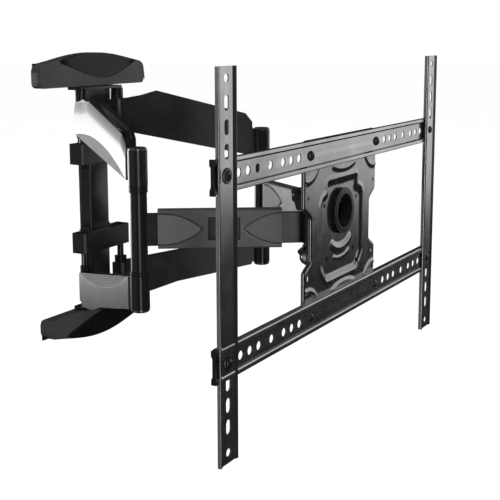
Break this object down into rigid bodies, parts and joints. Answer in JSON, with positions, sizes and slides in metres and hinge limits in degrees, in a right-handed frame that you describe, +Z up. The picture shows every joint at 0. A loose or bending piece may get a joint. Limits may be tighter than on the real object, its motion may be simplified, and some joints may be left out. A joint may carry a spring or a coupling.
{
  "type": "full motion tv wall mount",
  "caption": "Articulated TV wall mount: slotted wall plate with covers, two pairs of folding arms, swivel and tilt head, and a VESA frame of rails and upright brackets.",
  "frame": {"origin": "middle of the wall plate's back face, level with the middle of the front arms", "axes": "+Z up, +Y into the wall, +X to the right as seen from the room; the screen frame is at -Y"},
  "size_m": [0.6466, 0.4272, 0.431],
  "materials": {
    "frame_steel": "satin black powder coat",
    "arm_steel": "satin black powder coat",
    "cover_plastic": "satin with fine moulded texture",
    "dark_plastic": "smooth, semi-gloss",
    "zinc_bolt": "zinc plated",
    "black_bolt": "black oxide, semi-gloss"
  },
  "bodies": {
    "wall": {"wall_plate": "arm_steel", "wall_column": "arm_steel", "upper_hinge_bracket": "arm_steel", "lower_hinge_bracket": "arm_steel", "top_cover": "cover_plastic", "bottom_cover": "cover_plastic", "top_cover_inlay": "dark_plastic", "bottom_cover_inlay": "dark_plastic", "left_upper_wall_pin": "black_bolt", "left_lower_wall_pin": "black_bolt", "right_upper_wall_pin": "black_bolt", "right_lower_wall_pin": "black_bolt"},
    "left_rear_arms": {"left_upper_rear_arm": "arm_steel", "left_upper_rear_arm_cover": "cover_plastic", "left_lower_rear_arm": "arm_steel", "left_lower_rear_arm_cover": "cover_plastic", "left_elbow_pin": "black_bolt", "left_elbow_upper_bush": "dark_plastic", "left_elbow_lower_bush": "dark_plastic"},
    "left_front_arms": {"left_front_arm": "arm_steel", "left_front_arm_cover": "cover_plastic"},
    "right_rear_arms": {"right_upper_rear_arm": "arm_steel", "right_upper_rear_arm_cover": "cover_plastic", "right_lower_rear_arm": "arm_steel", "right_lower_rear_arm_cover": "cover_plastic", "right_elbow_pin": "black_bolt", "right_elbow_upper_bush": "dark_plastic", "right_elbow_lower_bush": "dark_plastic"},
    "right_front_arms": {"right_front_arm": "arm_steel", "right_front_arm_cover": "cover_plastic"},
    "head": {"head_yoke": "arm_steel", "left_head_pin": "black_bolt", "right_head_pin": "black_bolt"},
    "swivel": {"swivel_bracket": "arm_steel", "swivel_pin": "black_bolt"},
    "tilt": {"tilt_bracket": "arm_steel", "cable_ring": "dark_plastic", "left_tilt_pivot_bolt": "zinc_bolt", "right_tilt_pivot_bolt": "zinc_bolt", "left_tilt_lock_bolt": "black_bolt", "right_tilt_lock_bolt": "black_bolt"},
    "screen_frame": {"vesa_plate": "frame_steel", "top_rail": "frame_steel", "bottom_rail": "frame_steel", "left_vesa_bracket": "frame_steel", "right_vesa_bracket": "frame_steel", "top_rail_left_cap": "dark_plastic", "top_left_rail_bolt": "black_bolt", "top_left_bracket_bolt": "black_bolt", "top_rail_right_cap": "dark_plastic", "top_right_rail_bolt": "black_bolt", "top_right_bracket_bolt": "black_bolt", "bottom_rail_left_cap": "dark_plastic", "bottom_left_rail_bolt": "black_bolt", "bottom_left_bracket_bolt": "black_bolt", "bottom_rail_right_cap": "dark_plastic", "bottom_right_rail_bolt": "black_bolt", "bottom_right_bracket_bolt": "black_bolt"}
  },
  "joints": [
    {"name": "extend", "type": "hinge", "parent": "wall", "child": "left_rear_arms", "pos_m": [-0.041, -0.026, 0], "axis": [0, 0, 1], "range_deg": [-39, 23]},
    {"name": "left_elbow", "type": "hinge", "parent": "left_rear_arms", "child": "left_front_arms", "pos_m": [-0.15919, -0.20799, 0], "axis": [0, 0, 1], "range_deg": [-46, 78]},
    {"name": "left_head", "type": "hinge", "parent": "left_front_arms", "child": "head", "pos_m": [-0.041, -0.38998, 0], "axis": [0, 0, 1], "range_deg": [-39, 23]},
    {"name": "right_wall", "type": "hinge", "parent": "wall", "child": "right_rear_arms", "pos_m": [0.041, -0.026, 0], "axis": [0, 0, 1], "range_deg": [-23, 39]},
    {"name": "right_elbow", "type": "hinge", "parent": "right_rear_arms", "child": "right_front_arms", "pos_m": [0.15919, -0.20799, 0], "axis": [0, 0, 1], "range_deg": [-78, 46]},
    {"name": "swivel", "type": "hinge", "parent": "head", "child": "swivel", "pos_m": [0, -0.38998, 0], "axis": [0, 0, 1], "range_deg": [-8, 8]},
    {"name": "tilt", "type": "hinge", "parent": "swivel", "child": "tilt", "pos_m": [0, -0.39848, -0.033], "axis": [1, 0, 0], "range_deg": [-2, 8]},
    {"name": "level", "type": "hinge", "parent": "tilt", "child": "screen_frame", "pos_m": [0, -0.41658, 0.019], "axis": [0, 1, 0], "range_deg": [-3, 3]}
  ],
  "couplings": [
    {"joint": "left_elbow", "follows": "extend", "ratio": -2},
    {"joint": "left_head", "follows": "extend", "ratio": 1},
    {"joint": "right_wall", "follows": "extend", "ratio": -1},
    {"joint": "right_elbow", "follows": "extend", "ratio": 2}
  ]
}
